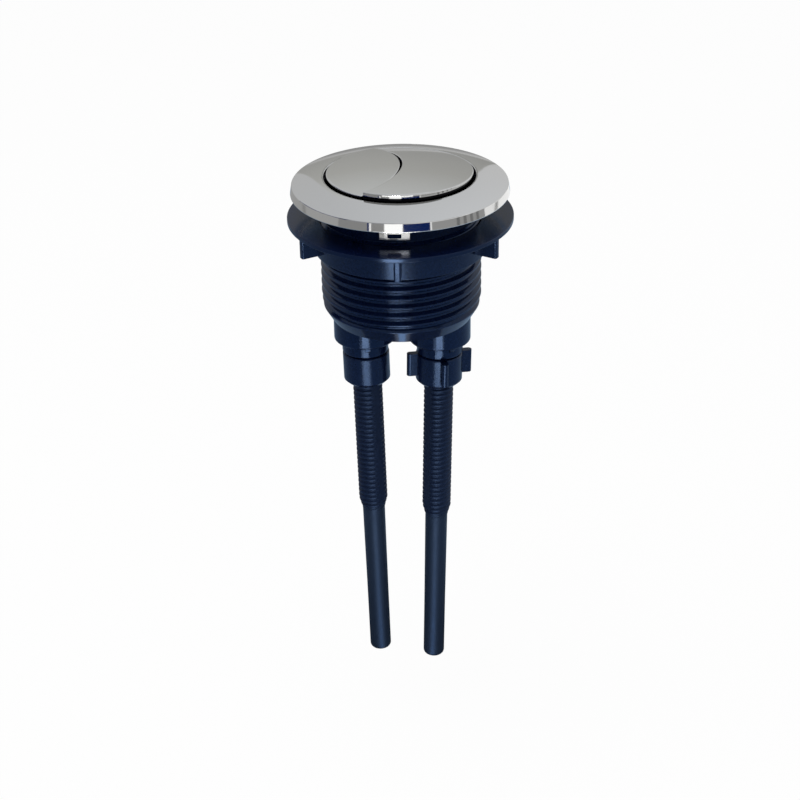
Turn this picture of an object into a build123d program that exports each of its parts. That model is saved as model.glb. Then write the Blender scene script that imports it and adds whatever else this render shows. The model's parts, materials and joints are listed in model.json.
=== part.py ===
from build123d import *
import os
from math import cos, radians, sin

# Push button cistern actuator: a chrome bezel and two chrome caps on a threaded barrel,
# clamped in a cistern lid by a ring nut, with two adjustable push rods below.
# Millimetres, +Z up. The origin is the middle of the bezel's underside, which rests on the lid.
# The half flush side is at -X, the full flush side at +X.

# Bezel
bezel_dia = 58.0
bezel_rim_height = 2.5
bezel_rim_inset = 0.4
bezel_bore_dia = 40.0
bezel_bore_height = 4.6
bezel_face_bulge = 0.15
bezel_wall = 1.8
bezel_collar_wall = 2.0
bezel_edge_radius = 0.35
leg_width = 8.0
leg_wall = 1.0
leg_clearance = 0.2
leg_length = 5.6
leg_taper = 0.5
latch_window_width = 3.6
latch_window_height = 1.1
latch_window_drop = 3.9

# Caps
cap_gap = 0.6
cap_ceiling = 3.6
cap_hollow = 2.0
cap_wall = 1.4
cap_crown = 1.5
cap_edge_radius = 0.25
half_cap_edge = 5.2
full_cap_edge = 5.55
full_cap_slope = -2.5
split_radius = 22.6
split_apex = 0.3
split_turn = -1.0
split_gap = 0.6

# Plungers
stem_dia = 12.7
stem_show = 3.6
stem_thread_length = 12.0
stem_wall = 1.15
head_thickness = 2.4
head_fit = 0.15
head_clearance = 0.85
barb_count = 4
barb_width = 1.6
barb_height = 1.5
barb_reach = 0.6
barb_play = 0.2
half_barb_turn = 11.0
full_barb_turn = 33.0
button_travel = 7.0
travel_stop_gap = 0.2

# Barrel
neck_rise = 0.6
neck_wall = 0.9
barrel_wall = 1.8
thread_depth = 1.1
thread_pitch = 2.5
thread_crest = 0.5
thread_flank = 0.7
thread_length = 25.1
cone_lip = 0.8
cone_taper = 2.2
cone_height = 4.5
floor_thickness = 2.2
boss_wall = 1.9
boss_height = 8.1
boss_clearance = 0.25
boss_edge_radius = 0.4
latch_nib_clearance = 0.15

# Springs
spring_wire = 0.8
spring_clearance = 0.45
spring_wall_gap = 0.8
spring_turns = 7

# Ring nut
flange_dia = 60.2
lid_gap = 6.4
flange_thickness = 1.2
hub_wall = 1.4
hub_height = 9.1
nut_clearance = 0.3
lug_count = 6
lug_thickness = 1.9
lug_height = 5.4
lug_end_inset = 0.6
lug_turn = 2.3
lug_edge_radius = 0.5

# Rods and lock nuts
rod_lean = 1.2
rod_thread_dia = 8.2
rod_thread_clearance = 0.3
rod_flat_across = 7.1
rod_shank_dia = 6.4
rod_tip_dia = 6.2
rod_run_out = 3.5
rod_end_radius = 1.2
rod_tip_length = 20.0
rod_engagement = 19.9
rod_thread_length = 67.6
rod_plain_length = 53.1
full_rod_drop = 2.0
half_flat_turn = -40.0
full_flat_turn = 40.0
lock_nut_dia = 12.9
lock_nut_height = 9.1
lock_nut_gap = 0.25
lock_nut_clearance = 0.2
lock_nut_chamfer = 1.0
wing_count = 4
wing_span = 18.2
wing_thickness = 1.9
wing_height = 6.8
wing_turn = 14.0

# Worked out from the sizes above, from the bezel inwards and then down
far = 2 * bezel_dia
bezel_radius = bezel_dia / 2
bore_radius = bezel_bore_dia / 2
collar_radius = bore_radius + bezel_collar_wall
leg_inner_radius = collar_radius - leg_wall
leg_bottom = neck_rise - leg_length
latch_window_top = neck_rise - latch_window_drop
latch_window_bottom = latch_window_top - latch_window_height
neck_radius = leg_inner_radius - leg_clearance
neck_bore_radius = neck_radius - neck_wall
cap_radius = bore_radius - cap_gap
head_radius = cap_radius - cap_wall - head_fit
barrel_bore_radius = head_radius + head_clearance
thread_root_radius = barrel_bore_radius + barrel_wall
thread_radius = thread_root_radius + thread_depth
cone_top_radius = thread_root_radius + cone_lip
cone_bottom_radius = cone_top_radius - cone_taper
cap_bottom = cap_ceiling - cap_hollow
dome_radius = (cap_radius**2 + cap_crown**2) / (2 * cap_crown)
head_bottom = cap_ceiling - head_thickness
neck_bottom = cap_bottom - button_travel - travel_stop_gap
thread_bottom = neck_bottom - thread_length
floor_bottom = thread_bottom - cone_height
floor_top = floor_bottom + floor_thickness
boss_bottom = floor_bottom - boss_height
stem_radius = stem_dia / 2
spring_radius = stem_radius + spring_clearance + spring_wire / 2
stem_offset = barrel_bore_radius - spring_wall_gap - spring_radius - spring_wire / 2
stem_bottom = boss_bottom - stem_show
stem_bore_radius = rod_thread_dia / 2 + rod_thread_clearance
boss_bore_radius = stem_radius + boss_clearance
boss_radius = boss_bore_radius + boss_wall
barb_top = boss_bottom - barb_play
flange_radius = flange_dia / 2
flange_top = -lid_gap
flange_bottom = flange_top - flange_thickness
nut_bore_radius = thread_radius + nut_clearance
hub_radius = nut_bore_radius + hub_wall
hub_bottom = flange_top - hub_height
lug_end_radius = flange_radius - lug_end_inset
lug_bottom = flange_bottom - lug_height
lock_nut_top = stem_bottom - lock_nut_gap
lean_pivot = stem_bottom + stem_thread_length / 2
split_centre = Vector(split_apex - split_radius, 0).rotate(Axis.Z, split_turn)


def turned(points):
    """A solid of revolution about Z from (radius, height) points, joined by straight lines."""
    outline = Polyline(*points, close=True)
    return revolve(make_face(Plane.XZ * outline), Axis.Z)


def upright(radius, bottom, top, x=0.0, y=0.0):
    """A plain upright cylinder between two heights."""
    base = Pos(x, y, bottom)
    return base * Cylinder(radius, top - bottom, align=(Align.CENTER, Align.CENTER, Align.MIN))


def block(width, depth, bottom, top, x=0.0, y=0.0):
    """An upright block between two heights, centred on x and y."""
    base = Pos(x, y, bottom)
    return base * Box(width, depth, top - bottom, align=(Align.CENTER, Align.CENTER, Align.MIN))


def around(count, start):
    """Even angles round the axis, in degrees."""
    return [start + 360 / count * i for i in range(count)]


# Bezel
def bezel_ring():
    rim_top = Vector(bezel_radius - bezel_rim_inset, bezel_rim_height)
    bore_edge = Vector(bore_radius, bezel_bore_height)
    across = bore_edge - rim_top
    outward = Vector(across.Y, -across.X).normalized()
    crest = (rim_top + bore_edge) * 0.5 + outward * bezel_face_bulge
    slope = across.Y / across.X

    def face_height(radius):
        return rim_top.Y + slope * (radius - rim_top.X)

    rim_inner = bezel_radius - bezel_wall
    underside = Polyline(
        (bore_radius, bezel_bore_height), (bore_radius, neck_rise), (collar_radius, neck_rise),
        (collar_radius, face_height(collar_radius) - bezel_wall),
        (rim_inner, face_height(rim_inner) - bezel_wall), (rim_inner, 0), (bezel_radius, 0),
        (rim_top.X, rim_top.Y),
    )
    face = ThreePointArc((rim_top.X, rim_top.Y), (crest.X, crest.Y), (bore_edge.X, bore_edge.Y))
    ring = revolve(make_face(Plane.XZ * Curve([*underside.edges(), face])), Axis.Z)
    face_edges = ring.faces().sort_by(Axis.Z)[-1].edges().filter_by(GeomType.CIRCLE)
    ring = fillet(face_edges, bezel_edge_radius)
    sleeve = turned([
        (leg_inner_radius, leg_bottom), (collar_radius, leg_bottom),
        (collar_radius - leg_taper, neck_rise), (leg_inner_radius, neck_rise),
    ])
    legs = sleeve & block(leg_width, far, leg_bottom, neck_rise)
    windows = block(latch_window_width, far, latch_window_bottom, latch_window_top)
    return ring + (legs - windows)


# Caps and plungers
def split_side(full, inset, bottom, top):
    """Everything on one side of the split between the caps, kept inset from the split line."""
    if full:
        outside = upright(far, bottom, top)
        return outside - upright(split_radius + inset, bottom, top, split_centre.X, split_centre.Y)
    return upright(split_radius - inset, bottom, top, split_centre.X, split_centre.Y)


def button_cap(full):
    """A hollow cap under a shallow dome; the full flush dome slopes, so that its front stands proud."""
    edge = full_cap_edge if full else half_cap_edge
    slope = radians(full_cap_slope if full else 0.0)
    crown = edge + cap_crown
    blank = upright(cap_radius, cap_bottom, crown + cap_crown)
    blank = blank & split_side(full, split_gap / 2, cap_bottom, crown + cap_crown)
    dome_centre = Pos(0, dome_radius * sin(slope), crown - dome_radius * cos(slope))
    cap = blank & (dome_centre * Rot(90, 0, 0) * Sphere(dome_radius))
    top_face = cap.faces().sort_by(Axis.Z)[-1]
    cap = fillet(top_face.edges(), cap_edge_radius)
    hollow = upright(cap_radius - cap_wall, cap_bottom, cap_ceiling)
    return cap - (hollow & split_side(full, split_gap / 2 + cap_wall, cap_bottom, cap_ceiling))


def plunger(full):
    side = stem_offset if full else -stem_offset
    plate = upright(head_radius, head_bottom, cap_ceiling)
    plate = plate & split_side(full, split_gap / 2 + cap_wall + head_fit, head_bottom, cap_ceiling)
    stem = upright(stem_radius, stem_bottom, head_bottom, side)
    part = plate + stem + stem_barbs(side, full_barb_turn if full else half_barb_turn)
    part -= upright(stem_radius - stem_wall, stem_bottom + stem_thread_length, head_bottom, side)
    part -= upright(stem_bore_radius, stem_bottom, stem_bottom + stem_thread_length, side)
    return part


def stem_barbs(x, turn):
    """Snap barbs that catch under the boss: a step at the top that tapers away downwards."""
    root = stem_radius - barb_reach
    tip = stem_radius + barb_reach
    wedge = make_face(
        Plane.XZ
        * Polyline(
            (root, barb_top), (tip, barb_top), (tip, barb_top - barb_height / 3),
            (stem_radius, barb_top - barb_height), (root, barb_top - barb_height), close=True,
        )
    )
    barb = extrude(wedge, barb_width / 2, both=True)
    return [Pos(x, 0, 0) * Rot(0, 0, a) * barb for a in around(barb_count, turn)]


def return_spring(full):
    """A coil of square wire round the stem, from the barrel's floor to the plunger's head."""
    x = stem_offset if full else -stem_offset
    half_wire = spring_wire / 2
    height = head_bottom - floor_top - spring_wire
    path = Helix(height / spring_turns, height, spring_radius)
    wire = sweep(Plane(path @ 0, z_dir=path % 0) * Rectangle(spring_wire, spring_wire), path, is_frenet=True)
    coil = wire & upright(2 * spring_radius, -half_wire, height + half_wire)
    return Pos(x, 0, floor_top + half_wire) * coil


# Barrel
def thread_outline():
    """The coarse thread's section, going down: one ridge a pitch, each a flat crest between two flanks."""
    root = thread_root_radius
    tip = thread_radius
    half_root = thread_crest / 2 + thread_flank
    count = int(thread_length / thread_pitch)
    points = []
    for i in reversed(range(count)):
        middle = thread_bottom + thread_pitch * (i + 0.5)
        points += [
            (root, middle + half_root), (tip, middle + thread_crest / 2),
            (tip, middle - thread_crest / 2), (root, middle - half_root),
        ]
    return points


def barrel_housing():
    shell = turned([
        (0, floor_top), (barrel_bore_radius, floor_top), (barrel_bore_radius, neck_bottom),
        (neck_bore_radius, neck_bottom), (neck_bore_radius, neck_rise), (neck_radius, neck_rise),
        (neck_radius, neck_bottom), (thread_root_radius, neck_bottom), *thread_outline(),
        (thread_root_radius, thread_bottom), (cone_top_radius, thread_bottom - cone_lip),
        (cone_bottom_radius, floor_bottom), (0, floor_bottom),
    ])
    for x in (-stem_offset, stem_offset):
        boss = upright(boss_radius, boss_bottom, floor_top, x)
        foot = boss.edges().sort_by(Axis.Z)[0]
        shell += fillet(foot, boss_edge_radius)
    shell += latch_nibs()
    for x in (-stem_offset, stem_offset):
        shell -= upright(boss_bore_radius, boss_bottom, floor_top, x)
    return shell


def latch_nibs():
    """Nibs on the neck that fill the latch windows of the bezel's legs."""
    width = latch_window_width - 2 * latch_nib_clearance
    top = latch_window_top - latch_nib_clearance
    bottom = latch_window_bottom + latch_nib_clearance
    ring = upright(collar_radius - latch_nib_clearance, bottom, top)
    ring -= upright(neck_radius - neck_wall / 2, bottom, top)
    return ring & block(width, far, bottom, top)


# Ring nut
def ring_nut():
    """A flange that bears on the lid from below, over a hub with lugs to turn it by."""
    body = turned([
        (nut_bore_radius, flange_top), (flange_radius, flange_top), (flange_radius, flange_bottom),
        (hub_radius, flange_bottom), (hub_radius, hub_bottom), (nut_bore_radius, hub_bottom),
    ])
    rooted = upright((nut_bore_radius + hub_radius) / 2, lug_bottom, flange_bottom)
    lug = block(lug_end_radius, lug_thickness, lug_bottom, flange_bottom, lug_end_radius / 2)
    lug = (lug & upright(lug_end_radius, lug_bottom, flange_bottom)) - rooted
    lug = fillet(lug.edges().filter_by(Axis.Z).sort_by(Axis.X)[-2:], lug_edge_radius)
    return body + [Rot(0, 0, a) * lug for a in around(lug_count, lug_turn - 90)]


# Rods and lock nuts
def leaning(full, piece):
    """Places an upright piece, drawn on the axis, on a rod's line: the rods toe in towards each other."""
    side = 1 if full else -1
    pivot = Pos(side * stem_offset, 0, lean_pivot)
    return pivot * Rot(0, side * rod_lean, 0) * Pos(0, 0, -lean_pivot) * piece


def push_rod(full):
    """A threaded rod with two moulded flats, a plain shank that tapers to its tip, and a rounded end."""
    top = stem_bottom + rod_engagement - (full_rod_drop if full else 0.0)
    thread_end = top - rod_thread_length
    bottom = thread_end - rod_plain_length
    thread = rod_thread_dia / 2
    shank = rod_shank_dia / 2
    tip = rod_tip_dia / 2
    lead_in = thread - shank
    end = rod_end_radius
    half_way = end - end * sin(radians(45))
    side = Polyline(
        (tip - end, bottom), (0, bottom), (0, top), (shank, top), (thread, top - lead_in),
        (thread, thread_end), (shank, thread_end - rod_run_out), (tip, bottom + rod_tip_length),
        (tip, bottom + end),
    )
    edge = ThreePointArc((tip, bottom + end), (tip - half_way, bottom + half_way), (tip - end, bottom))
    rod = revolve(make_face(Plane.XZ * Curve([*side.edges(), edge])), Axis.Z)
    flats = block(rod_flat_across, rod_thread_dia, bottom, top)
    rod = rod & (Rot(0, 0, full_flat_turn if full else half_flat_turn) * flats)
    return leaning(full, rod)


def lock_nut(full):
    bottom = lock_nut_top - lock_nut_height
    body = upright(lock_nut_dia / 2, bottom, lock_nut_top)
    body = chamfer(body.edges().filter_by(GeomType.CIRCLE).sort_by(Axis.Z)[0], lock_nut_chamfer)
    if full:
        span = wing_span / 2
        end = wing_thickness / 2
        wing = block(span - end, wing_thickness, lock_nut_top - wing_height, lock_nut_top, (span - end) / 2)
        wing += upright(end, lock_nut_top - wing_height, lock_nut_top, span - end)
        body += [Rot(0, 0, a) * wing for a in around(wing_count, wing_turn)]
    body -= upright(rod_thread_dia / 2 + lock_nut_clearance, bottom, lock_nut_top)
    return leaning(full, body)


pieces = {
    "bezel_ring": bezel_ring(),
    "barrel_housing": barrel_housing(),
    "ring_nut": ring_nut(),
}
for side_name, is_full in (("half_flush", False), ("full_flush", True)):
    pieces[side_name + "_cap"] = button_cap(is_full)
    pieces[side_name + "_plunger"] = plunger(is_full)
    pieces[side_name + "_spring"] = return_spring(is_full)
    pieces[side_name + "_rod"] = push_rod(is_full)
    pieces[side_name + "_lock_nut"] = lock_nut(is_full)

os.makedirs("parts", exist_ok=True)
for name, piece in pieces.items():
    export_step(piece, "parts/" + name + ".step")
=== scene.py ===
import json
import math

import bmesh
import bpy
import numpy as np
from bpy.props import FloatProperty, FloatVectorProperty, IntProperty, PointerProperty
from bpy.types import Operator, Panel, PropertyGroup
from mathutils import Matrix, Vector


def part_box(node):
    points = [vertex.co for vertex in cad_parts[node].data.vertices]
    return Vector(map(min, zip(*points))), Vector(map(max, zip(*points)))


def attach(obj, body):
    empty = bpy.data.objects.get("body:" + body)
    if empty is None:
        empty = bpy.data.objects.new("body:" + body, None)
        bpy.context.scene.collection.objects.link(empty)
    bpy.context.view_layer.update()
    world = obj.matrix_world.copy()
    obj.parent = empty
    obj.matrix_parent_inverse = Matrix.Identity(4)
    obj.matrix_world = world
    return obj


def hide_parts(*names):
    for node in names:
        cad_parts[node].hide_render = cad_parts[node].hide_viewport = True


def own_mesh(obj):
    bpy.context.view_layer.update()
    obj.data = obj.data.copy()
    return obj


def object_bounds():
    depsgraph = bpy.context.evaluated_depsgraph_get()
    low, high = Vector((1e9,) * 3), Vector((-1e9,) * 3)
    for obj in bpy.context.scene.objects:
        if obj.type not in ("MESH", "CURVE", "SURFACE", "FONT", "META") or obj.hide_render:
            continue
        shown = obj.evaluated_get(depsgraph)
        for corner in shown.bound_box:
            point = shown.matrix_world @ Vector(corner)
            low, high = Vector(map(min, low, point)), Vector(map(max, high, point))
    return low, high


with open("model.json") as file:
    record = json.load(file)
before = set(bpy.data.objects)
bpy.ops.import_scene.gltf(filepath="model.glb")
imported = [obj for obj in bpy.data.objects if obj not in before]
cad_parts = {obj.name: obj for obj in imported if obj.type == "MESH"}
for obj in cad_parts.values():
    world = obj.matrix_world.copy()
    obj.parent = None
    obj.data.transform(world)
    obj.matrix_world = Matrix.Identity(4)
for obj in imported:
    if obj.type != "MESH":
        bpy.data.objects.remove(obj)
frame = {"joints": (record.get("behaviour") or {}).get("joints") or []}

# The looks of a push button cistern actuator: plated bezel and caps, black moulded barrel, nut,
# plungers and rods. Metres, +Z up. The origin is the middle of the bezel's underside, the half
# flush side is at -X and the full flush side at +X. Every CAD node is stood for by a smooth surface.

bl_info = {
    "name": "Push button cistern actuator",
    "version": (1, 0, 0),
    "blender": (4, 5, 0),
    "location": "View3D > Sidebar > Push Button",
    "description": "Builds the surfaces, finishes and stage of a dual flush push button",
    "category": "Add Mesh",
}

MM = 0.001
CAD_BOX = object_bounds()
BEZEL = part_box("bezel_ring")
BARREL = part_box("barrel_housing")
RING_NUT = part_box("ring_nut")
FULL_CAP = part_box("full_flush_cap")
HALF_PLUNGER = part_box("half_flush_plunger")
FULL_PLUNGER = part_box("full_flush_plunger")
SIDES = (("half", -1), ("full", 1))
TRAVEL = {joint["name"]: joint["range_m"][1] for joint in frame["joints"] if "range_m" in joint}
ROD_TRAVEL = TRAVEL["half_flush_press"] + TRAVEL["half_flush_rod_adjust"]
WHITE = (1, 1, 1)

# Columns of points once round each turned surface
COLUMNS = {
    "bezel": 240, "barrel": 192, "boss": 128, "ring_nut": 256, "stem": 96, "rod": 72, "lock_nut": 120,
    "wire": 12, "tent": 72,
}
# Points along the outlines of a cap, of a head and of a short arc, and along one turn of a spring
CAP_POINTS, HEAD_POINTS, ARC_POINTS, COIL_POINTS = 97, 65, 13, 40
# Rows of points over a cap's edge, its dome and its underside
EDGE_ROWS, DOME_ROWS, UNDER_ROWS = 8, 26, 12
# Angles in degrees over which an edge stays sharp, on most pieces and on the rods, or is bevelled
SHARP, ROD_SHARP, BEVELLED = 35, 50, 50
# Points nearer than this are one
MERGE = 0.0001 * MM


# Properties
def length(label, about, size):
    """A length that a user may change, in metres."""
    return FloatProperty(name=label, description=about, default=size, unit="LENGTH", precision=5)


def angle(label, about, degrees):
    """An angle that a user may change, given in degrees."""
    return FloatProperty(name=label, description=about, default=math.radians(degrees), subtype="ANGLE")


def share(label, about, amount):
    """A plain number between nothing and a few."""
    return FloatProperty(name=label, description=about, default=amount, min=0.0, precision=4)


def colour(label, about, red, green, blue):
    """A linear colour that a user may change."""
    return FloatVectorProperty(
        name=label, description=about, default=(red, green, blue), subtype="COLOR", min=0.0, max=1.0
    )


def count(label, about, number):
    """A number of like features."""
    return IntProperty(name=label, description=about, default=number, min=1)


class BezelSizes(PropertyGroup):
    """Sizes of the plated ring and its two snap legs."""

    radius: length("Radius", "Outside radius at the foot of the rim", BEZEL[1].x)
    rim_height: length("Rim height", "Height of the rim band", 2.5 * MM)
    rim_inset: length("Rim inset", "How far the rim band leans in", 0.4 * MM)
    bore_radius: length("Bore radius", "Radius of the hole for the caps", 20 * MM)
    bore_height: length("Bore height", "Height of the face at the hole", 4.6 * MM)
    face_bulge: length("Face bulge", "Rise of the sloped face over a straight line", 0.15 * MM)
    wall: length("Wall", "Thickness of the face and the rim", 1.8 * MM)
    collar_radius: length("Collar radius", "Outside radius of the collar below the hole", 22 * MM)
    collar_bottom: length("Collar bottom", "Height of the collar's lower face", BARREL[1].z)
    edge_radius: length("Edge radius", "Rounding of the face's two edges", 0.35 * MM)
    soft_edge: length("Soft edge", "Rounding of the other edges", 0.2 * MM)
    leg_inner: length("Leg inner radius", "Radius of a snap leg's inner face", 21 * MM)
    leg_width: length("Leg width", "Width of a snap leg", 8 * MM)
    leg_bottom: length("Leg bottom", "Height of a snap leg's lower end", BEZEL[0].z)
    leg_taper: length("Leg taper", "How much thinner a snap leg is at its top", 0.5 * MM)
    window_width: length("Window width", "Width of a leg's latch window", 3.6 * MM)
    window_top: length("Window top", "Upper edge of a latch window", -3.3 * MM)
    window_bottom: length("Window bottom", "Lower edge of a latch window", -4.4 * MM)


class CapSizes(PropertyGroup):
    """Sizes of the two plated caps and of the arc that parts them."""

    radius: length("Radius", "Radius of both caps together", FULL_CAP[1].x)
    bottom: length("Bottom", "Height of the caps' lower edge", FULL_CAP[0].z)
    ceiling: length("Ceiling", "Height of the face that rests on the head below", FULL_PLUNGER[1].z)
    half_edge: length("Half edge", "Height of the half flush cap's edge", 5.2 * MM)
    full_edge: length("Full edge", "Height of the full flush cap's edge beside the axis", 5.54 * MM)
    full_slope: angle("Full slope", "Rise of the full flush cap to the back", -2.5)
    crown: length("Crown", "Rise of the domes towards the axis", 1.5 * MM)
    wall: length("Wall", "Thickness of a cap's walls", 1.4 * MM)
    edge_radius: length("Edge radius", "Rounding of a cap's top edge", 0.25 * MM)
    # The caps' walls are painted dark up to these heights: painted shade of the gap under their edges
    half_painted_shade_skirt: length("Half painted_shade_skirt", "Height up to which the half flush cap's wall is dark", 5.03 * MM)
    full_painted_shade_skirt: length("Full painted_shade_skirt", "Height up to which the full flush cap's wall is dark", 5.4 * MM)
    split_radius: length("Split radius", "Radius of the arc between the caps", 22.6 * MM)
    split_apex: length("Split apex", "How far the arc passes the axis", 0.3 * MM)
    split_turn: angle("Split turn", "Turn of the arc about the axis", -1)
    split_gap: length("Split gap", "Gap between the caps", 0.6 * MM)


class BarrelSizes(PropertyGroup):
    """Sizes of the threaded barrel, its cone, its floor and its bosses."""

    neck_radius: length("Neck radius", "Outside radius of the neck", 20.8 * MM)
    neck_bore: length("Neck bore", "Inside radius of the neck", 19.9 * MM)
    neck_top: length("Neck top", "Height of the neck's rim", BARREL[1].z)
    neck_bottom: length("Neck bottom", "Height where the thread starts", -5.6 * MM)
    bore: length("Bore", "Inside radius below the neck", 18.7 * MM)
    thread_radius: length("Thread radius", "Radius of the thread's crest", BARREL[1].x)
    thread_depth: length("Thread depth", "Height of the thread's ridge", 1.1 * MM)
    thread_pitch: length("Thread pitch", "Rise of the thread in one turn", 2.5 * MM)
    thread_crest: length("Thread crest", "Width of the ridge's flat top", 0.5 * MM)
    thread_flank: length("Thread flank", "Width of each flank", 0.7 * MM)
    thread_edge: length("Thread edge", "Rounding of the thread's edges", 0.18 * MM)
    thread_fade: length("Thread fade", "Length over which the ridge starts and ends", 1.2 * MM)
    thread_bottom: length("Thread bottom", "Height where the thread ends", -30.7 * MM)
    cone_lip: length("Cone lip", "Step from the thread's root out to the cone", 0.8 * MM)
    cone_bottom: length("Cone bottom", "Radius of the cone's lower end", 19.1 * MM)
    floor_bottom: length("Floor bottom", "Height of the floor's lower face", -35.2 * MM)
    floor_top: length("Floor top", "Height of the floor's upper face", -33 * MM)
    boss_radius: length("Boss radius", "Outside radius of a guide boss", 8.5 * MM)
    boss_bore: length("Boss bore", "Radius of a boss's hole", 6.6 * MM)
    boss_bottom: length("Boss bottom", "Height of a boss's lower end", BARREL[0].z)
    soft_edge: length("Soft edge", "Rounding of the moulded edges", 0.4 * MM)
    boss_edge: length("Boss edge", "Rounding of a boss's lower edge", 0.7 * MM)
    nib_width: length("Nib width", "Width of a latch nib", 3.3 * MM)
    nib_top: length("Nib top", "Upper edge of a latch nib", -3.45 * MM)
    nib_bottom: length("Nib bottom", "Lower edge of a latch nib", -4.25 * MM)
    nib_reach: length("Nib reach", "Radius of a latch nib's face", BARREL[1].y)


class RingNutSizes(PropertyGroup):
    """Sizes of the nut that clamps the lid from below."""

    flange_radius: length("Flange radius", "Outside radius of the flange", RING_NUT[1].x)
    flange_top: length("Flange top", "Height of the face under the lid", RING_NUT[1].z)
    flange_thickness: length("Flange thickness", "Thickness of the flange", 1.2 * MM)
    bore: length("Bore", "Radius of the nut's hole", 21.9 * MM)
    hub_radius: length("Hub radius", "Outside radius of the hub", 23.3 * MM)
    hub_bottom: length("Hub bottom", "Height of the hub's lower end", RING_NUT[0].z)
    soft_edge: length("Soft edge", "Rounding of the moulded edges", 0.3 * MM)
    flange_edge: length("Flange edge", "Rounding of the flange's outer edges", 0.18 * MM)
    lugs: count("Lugs", "Number of lugs to turn the nut by", 6)
    lug_end: length("Lug end", "Radius of a lug's outer end", 29.5 * MM)
    lug_thickness: length("Lug thickness", "Thickness of a lug", 1.9 * MM)
    lug_bottom: length("Lug bottom", "Height of a lug's lower edge", -13 * MM)
    lug_edge: length("Lug edge", "Rounding of a lug's outer end", 0.5 * MM)
    lug_turn: angle("Lug turn", "Turn of the front lug from straight ahead", 2.3)


class PlungerSizes(PropertyGroup):
    """Sizes of the heads under the caps and of their stems."""

    offset: length("Offset", "Distance of a stem from the axis", 10.3 * MM)
    head_radius: length("Head radius", "Radius of both heads together", 17.85 * MM)
    head_inset: length("Head inset", "Distance of a head from the middle of the split", 1.85 * MM)
    head_thickness: length("Head thickness", "Thickness of a head", 2.4 * MM)
    half_top: length("Half top", "Height of the half flush head", HALF_PLUNGER[1].z)
    full_top: length("Full top", "Height of the full flush head", FULL_PLUNGER[1].z)
    stem_radius: length("Stem radius", "Outside radius of a stem", 6.35 * MM)
    stem_bore: length("Stem bore", "Inside radius of a stem's upper part", 5.2 * MM)
    thread_bore: length("Thread bore", "Inside radius where the rod screws in", 4.4 * MM)
    thread_length: length("Thread length", "Length of that part", 12 * MM)
    stem_bottom: length("Stem bottom", "Height of a stem's lower end", HALF_PLUNGER[0].z)
    soft_edge: length("Soft edge", "Rounding of the stem's lower end", 0.4 * MM)
    barbs: count("Barbs", "Number of snap barbs round a stem", 4)
    barb_top: length("Barb top", "Height of a barb's step", -43.5 * MM)
    barb_height: length("Barb height", "Height of a barb", 1.5 * MM)
    barb_width: length("Barb width", "Width of a barb", 1.6 * MM)
    barb_reach: length("Barb reach", "How far a barb stands out", 0.6 * MM)
    barb_edge: length("Barb edge", "Rounding of a barb's edges", 0.12 * MM)
    half_barb_turn: angle("Half barb turn", "Turn of the half flush barbs", 11)
    full_barb_turn: angle("Full barb turn", "Turn of the full flush barbs", 33)


class SpringSizes(PropertyGroup):
    """Sizes of the return springs round the stems."""

    radius: length("Radius", "Radius of the coil at the middle of its wire", 7.2 * MM)
    wire: length("Wire", "Thickness of the wire", 0.8 * MM)
    turns: count("Turns", "Number of turns", 7)


class RodSizes(PropertyGroup):
    """Sizes of the two adjustable push rods."""

    lean: angle("Lean", "How far a rod leans towards the other", 1.2)
    lean_height: length("Lean height", "Height about which a rod leans", -40.9 * MM)
    half_top: length("Half top", "Height of the half flush rod's upper end", -27 * MM)
    full_top: length("Full top", "Height of the full flush rod's upper end", -29 * MM)
    thread_radius: length("Thread radius", "Radius of the thread's crest", 4.1 * MM)
    thread_pitch: length("Thread pitch", "Rise of the thread in one turn", 1.5 * MM)
    thread_depth: length("Thread depth", "Height of the thread's ridge", 0.4 * MM)
    thread_crest: length("Thread crest", "Width of the ridge's flat top", 0.5 * MM)
    thread_flank: length("Thread flank", "Width of each flank", 0.4 * MM)
    thread_edge: length("Thread edge", "Rounding of the thread's edges", 0.08 * MM)
    thread_length: length("Thread length", "Length of the threaded part", 67.6 * MM)
    run_out: length("Run-out", "Length over which the thread runs out", 3.5 * MM)
    shank_radius: length("Shank radius", "Radius of the plain part", 3.2 * MM)
    tip_radius: length("Tip radius", "Radius near the end", 3.1 * MM)
    tip_length: length("Tip length", "Length of the even part at the end", 20 * MM)
    plain_length: length("Plain length", "Length below the thread", 53.1 * MM)
    end_radius: length("End radius", "Rounding of the end", 1.2 * MM)
    flat: length("Flat", "Distance of a flat from the rod's axis", 3.55 * MM)
    half_flat_turn: angle("Half flat turn", "Direction of the half flush rod's flats", -40)
    full_flat_turn: angle("Full flat turn", "Direction of the full flush rod's flats", 40)


class LockNutSizes(PropertyGroup):
    """Sizes of the nuts that lock the rods."""

    radius: length("Radius", "Outside radius of a nut", 6.45 * MM)
    bore: length("Bore", "Radius of a nut's hole", 4.3 * MM)
    top: length("Top", "Height of a nut's upper face", -47.15 * MM)
    height: length("Height", "Height of a nut", 9.1 * MM)
    chamfer: length("Chamfer", "Bevel of the lower edge", 1.0 * MM)
    top_edge: length("Top edge", "Rounding of the upper edge", 0.5 * MM)
    soft_edge: length("Soft edge", "Rounding of the moulded edges", 0.25 * MM)
    wings: count("Wings", "Number of wings on the full flush nut", 4)
    wing_reach: length("Wing reach", "Radius of a wing's end", 9.1 * MM)
    wing_thickness: length("Wing thickness", "Thickness of a wing", 1.9 * MM)
    wing_drop: length("Wing drop", "How far a wing's upper edge lies below the nut's", 0.1 * MM)
    wing_height: length("Wing height", "Height of the nut down to a wing's lower edge", 6.8 * MM)
    wing_turn: angle("Wing turn", "Turn of the wings about the rod", 14)


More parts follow.
